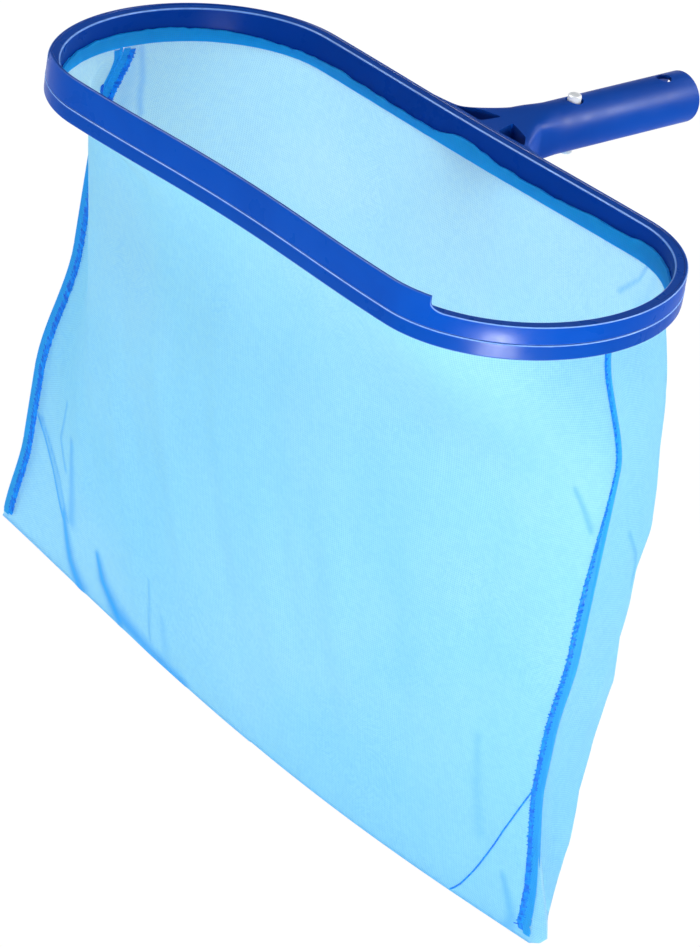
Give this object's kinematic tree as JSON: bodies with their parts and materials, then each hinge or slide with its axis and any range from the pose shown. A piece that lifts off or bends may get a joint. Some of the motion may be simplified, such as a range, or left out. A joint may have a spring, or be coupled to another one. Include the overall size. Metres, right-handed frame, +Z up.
{
  "type": "leaf skimmer net",
  "caption": "Handheld pool leaf skimmer: oval frame with a scraper lip, deep hanging mesh bag and a pole handle socket with a spring snap clip.",
  "frame": {"origin": "centre of the handle's open end, where the pole holds it", "axes": "+Y out of the handle towards the pole, +X along the frame's long direction, +Z up out of the frame; the bag hangs along -Z"},
  "size_m": [0.4747, 0.3461, 0.3823],
  "materials": {
    "blue_plastic": "satin gloss moulded plastic",
    "net_mesh": "fine woven mesh, see-through",
    "hem_cloth": "doubled mesh hem",
    "seam_thread": "overlocked thread",
    "spring_steel": "rolled spring strip",
    "button_plastic": "smooth moulded"
  },
  "bodies": {
    "frame": {"upper_frame": "blue_plastic", "lower_clamp_ring": "blue_plastic", "handle": "blue_plastic", "hem_cord": "hem_cloth", "net_hem": "hem_cloth", "net_bag": "net_mesh", "side_seam_left": "seam_thread", "side_seam_right": "seam_thread", "spring_clip_bow": "spring_steel"},
    "upper_leg": {"spring_clip_leg_upper": "spring_steel", "clip_button_upper": "button_plastic"},
    "lower_leg": {"spring_clip_leg_lower": "spring_steel", "clip_button_lower": "button_plastic"}
  },
  "joints": [
    {"name": "upper_button_press", "type": "hinge", "parent": "frame", "child": "upper_leg", "pos_m": [0, -0.125, 0.004], "axis": [-1, 0, 0], "range_deg": [0, 5.2], "stiffness_Nm_per_rad": 4.8, "springref_deg": -2.29},
    {"name": "lower_button_press", "type": "hinge", "parent": "frame", "child": "lower_leg", "pos_m": [0, -0.125, -0.004], "axis": [1, 0, 0], "range_deg": [0, 5.2], "stiffness_Nm_per_rad": 4.8, "springref_deg": -2.29}
  ]
}
